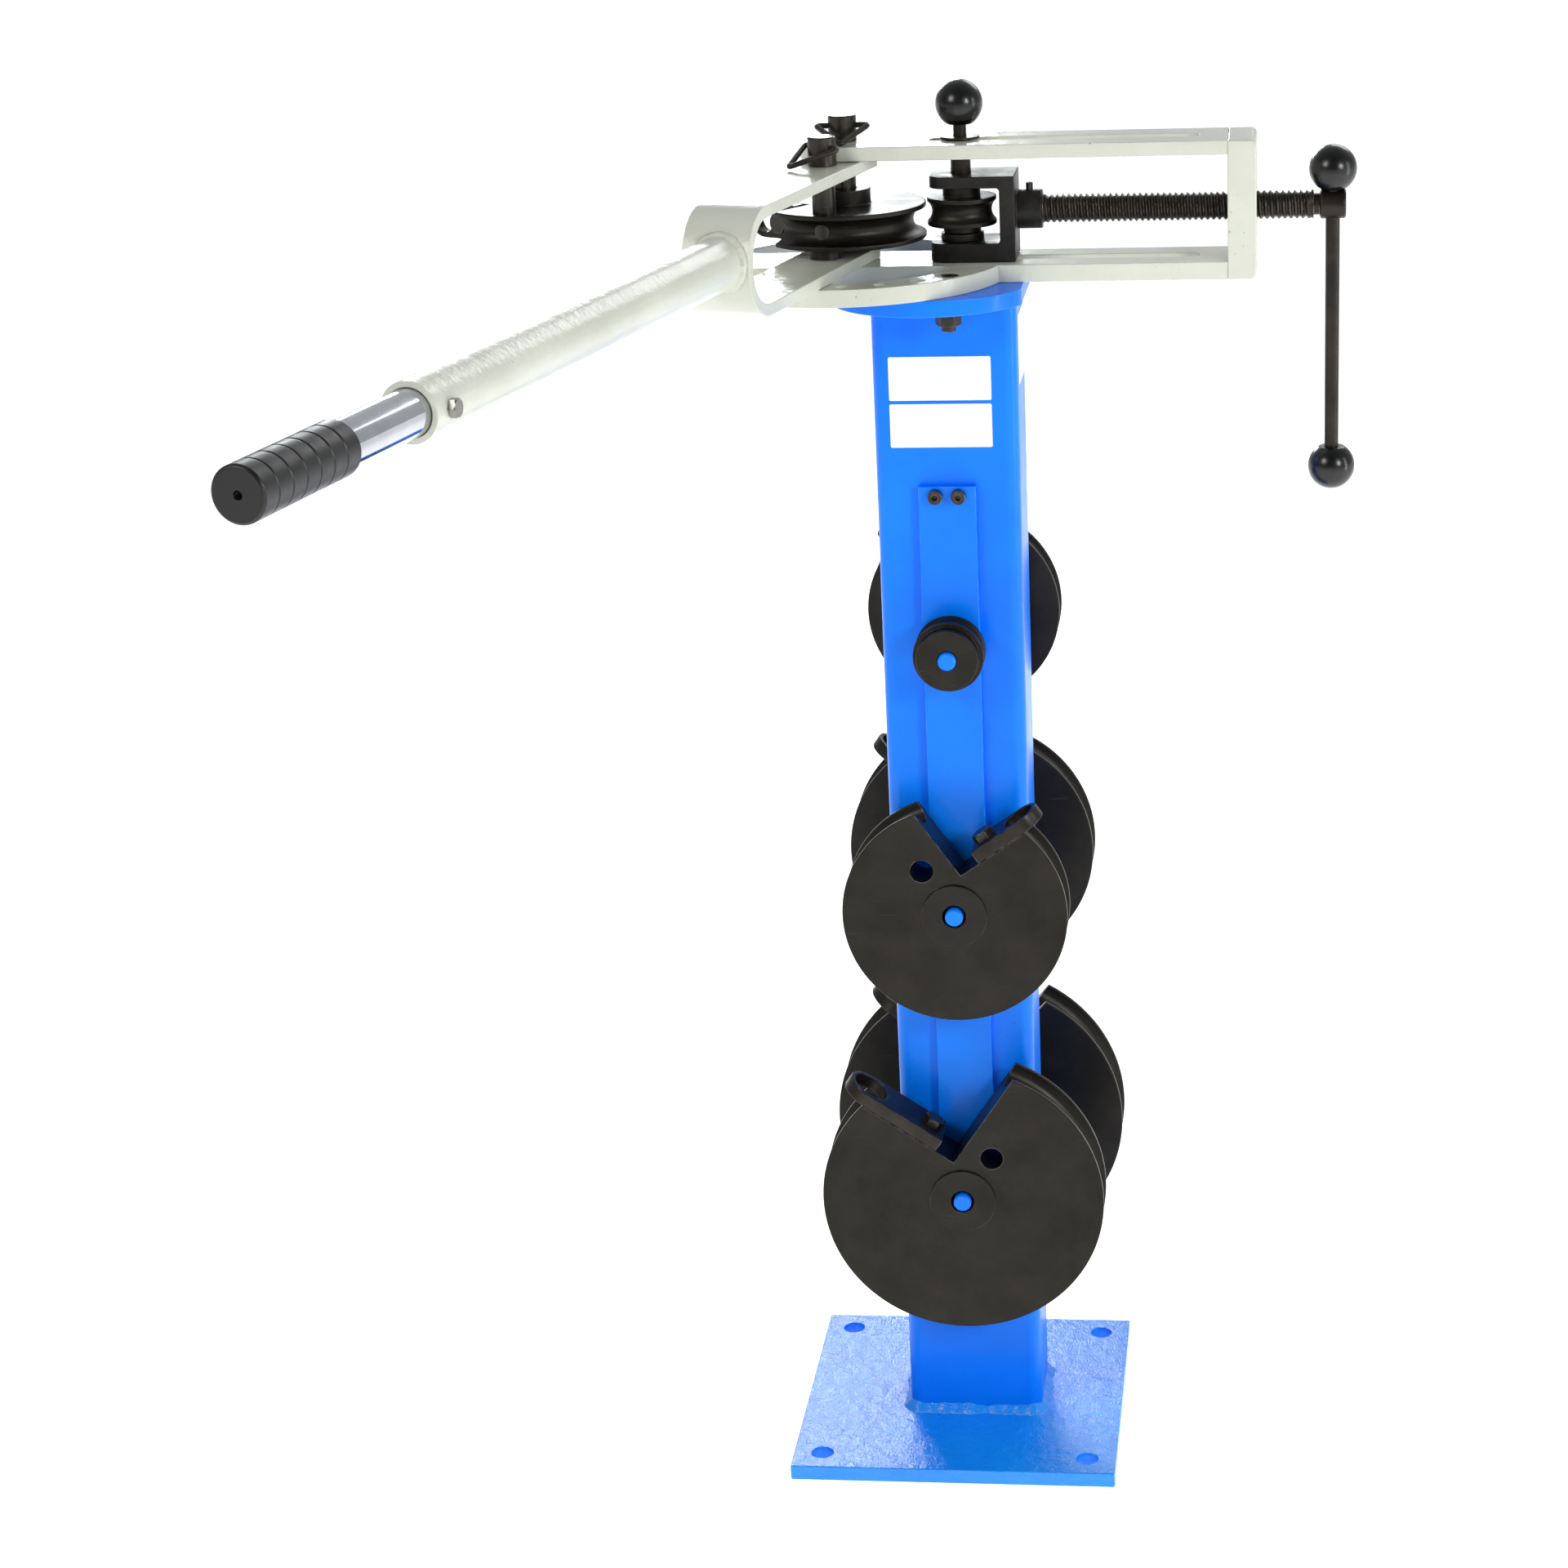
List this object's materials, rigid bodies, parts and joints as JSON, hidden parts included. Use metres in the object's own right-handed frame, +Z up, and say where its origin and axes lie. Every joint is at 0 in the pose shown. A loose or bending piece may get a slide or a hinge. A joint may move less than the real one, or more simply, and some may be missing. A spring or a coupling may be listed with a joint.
{
  "type": "pedestal pipe bender",
  "caption": "Manual pipe bender on a square pedestal: frame with former, swinging handle and screw-driven roller carriage, spare formers hung on the column.",
  "frame": {"origin": "middle of the base plate's underside", "axes": "+Z up, +X from the pivot to the end post, +Y away from the handle and the front formers"},
  "size_m": [0.6902, 1.149, 1.254],
  "materials": {
    "blue_paint": "gloss paint, hammered on the base plate",
    "cream_paint": "gloss paint",
    "black_oxide": "satin black oxide on turned steel",
    "dark_steel": "oiled black fasteners and pins",
    "gloss_black": "polished moulded ball",
    "chrome": "polished plating",
    "rubber": "matt moulded sleeve",
    "zinc": "bright zinc"
  },
  "bodies": {
    "stand": {"base_plate": "blue_paint", "column": "blue_paint", "cap_plate": "blue_paint", "hanger_front": "blue_paint", "hanger_back": "blue_paint", "hanger_front_screw_1": "dark_steel", "hanger_front_screw_2": "dark_steel", "hanger_back_screw_1": "dark_steel", "hanger_back_screw_2": "dark_steel", "frame_bolt_1": "dark_steel", "frame_bolt_2": "dark_steel", "frame_nut_1": "dark_steel", "frame_nut_2": "dark_steel", "lower_plate": "cream_paint", "upper_bar": "cream_paint", "end_post": "cream_paint"},
    "handle": {"yoke": "cream_paint", "handle_tube": "cream_paint", "clamp_bolt": "zinc", "former_on_machine": "black_oxide", "former_on_machine_hook": "black_oxide", "former_on_machine_bolt": "dark_steel"},
    "extension": {"extension_tube": "chrome", "grip": "rubber"},
    "main_pin": {"main_pin": "dark_steel"},
    "main_bail": {"main_bail": "dark_steel"},
    "drive_pin": {"drive_pin": "dark_steel"},
    "drive_bail": {"drive_bail": "dark_steel"},
    "carriage": {"carriage": "black_oxide", "collar_set_screw": "dark_steel", "roller_spacer": "black_oxide"},
    "carriage_roller": {"carriage_roller": "black_oxide"},
    "carriage_knob": {"knob_pin": "black_oxide", "knob_washer": "black_oxide", "knob_ball": "gloss_black"},
    "lead_screw": {"lead_screw": "black_oxide"},
    "tee_bar": {"tee_bar": "black_oxide", "tee_ball_upper": "gloss_black", "tee_ball_lower": "gloss_black"},
    "spare_roller": {"spare_roller": "black_oxide"},
    "former_front_upper": {"former_front_upper": "black_oxide", "former_front_upper_hook": "black_oxide", "former_front_upper_bolt": "dark_steel"},
    "former_front_lower": {"former_front_lower": "black_oxide", "former_front_lower_hook": "black_oxide", "former_front_lower_bolt": "dark_steel"},
    "former_back_upper": {"former_back_upper": "black_oxide", "former_back_upper_hook": "black_oxide", "former_back_upper_bolt": "dark_steel"},
    "former_back_middle": {"former_back_middle": "black_oxide", "former_back_middle_hook": "black_oxide", "former_back_middle_bolt": "dark_steel"},
    "former_back_lower": {"former_back_lower": "black_oxide", "former_back_lower_hook": "black_oxide", "former_back_lower_bolt": "dark_steel"}
  },
  "joints": [
    {"name": "handle_swing", "type": "hinge", "parent": "stand", "child": "handle", "pos_m": [-0.072, 0.007, 1.14], "axis": [0, 0, 1], "range_deg": [-90, 20]},
    {"name": "extension_slide", "type": "slide", "parent": "handle", "child": "extension", "axis": [-0.2317, -0.9728, 0], "range_m": [-0.099, 0.2]},
    {"name": "main_pin_lift", "type": "slide", "parent": "stand", "child": "main_pin", "axis": [0, 0, 1], "range_m": [0, 0.14]},
    {"name": "main_bail_flip", "type": "hinge", "parent": "main_pin", "child": "main_bail", "pos_m": [-0.072, 0.007, 1.2173], "axis": [-0.9976, -0.0698, 0], "range_deg": [0, 150]},
    {"name": "drive_pin_lift", "type": "slide", "parent": "handle", "child": "drive_pin", "axis": [0, 0, 1], "range_m": [0, 0.12]},
    {"name": "drive_bail_flip", "type": "hinge", "parent": "drive_pin", "child": "drive_bail", "pos_m": [-0.08359, -0.04164, 1.2066], "axis": [-0.7071, 0.7071, 0], "range_deg": [0, 100]},
    {"name": "carriage_slide", "type": "slide", "parent": "stand", "child": "carriage", "axis": [1, 0, 0], "range_m": [0, 0.15]},
    {"name": "screw_turn", "type": "hinge", "parent": "carriage", "child": "lead_screw", "pos_m": [0.2, 0.007, 1.144], "axis": [1, 0, 0], "range_deg": [0, 10800]},
    {"name": "tee_bar_slide", "type": "slide", "parent": "lead_screw", "child": "tee_bar", "axis": [0, 0, 1], "range_m": [0, 0.195]},
    {"name": "roller_spin", "type": "hinge", "parent": "carriage", "child": "carriage_roller", "pos_m": [0.028, 0.007, 1.144], "axis": [0, 0, 1], "continuous": true},
    {"name": "knob_pin_lift", "type": "slide", "parent": "carriage", "child": "carriage_knob", "axis": [0, 0, 1], "range_m": [0, 0.08]},
    {"name": "spare_roller_pull", "type": "slide", "parent": "stand", "child": "spare_roller", "axis": [0, -1, 0], "range_m": [0, 0.09]},
    {"name": "former_front_upper_pull", "type": "slide", "parent": "stand", "child": "former_front_upper", "axis": [0, -1, 0], "range_m": [0, 0.09]},
    {"name": "former_front_lower_pull", "type": "slide", "parent": "stand", "child": "former_front_lower", "axis": [0, -1, 0], "range_m": [0, 0.09]},
    {"name": "former_back_upper_pull", "type": "slide", "parent": "stand", "child": "former_back_upper", "axis": [0, 1, 0], "range_m": [0, 0.09]},
    {"name": "former_back_middle_pull", "type": "slide", "parent": "stand", "child": "former_back_middle", "axis": [0, 1, 0], "range_m": [0, 0.09]},
    {"name": "former_back_lower_pull", "type": "slide", "parent": "stand", "child": "former_back_lower", "axis": [0, 1, 0], "range_m": [0, 0.09]}
  ],
  "couplings": [
    {"joint": "carriage_slide", "follows": "screw_turn", "m_per_rad": 0.00079577}
  ]
}
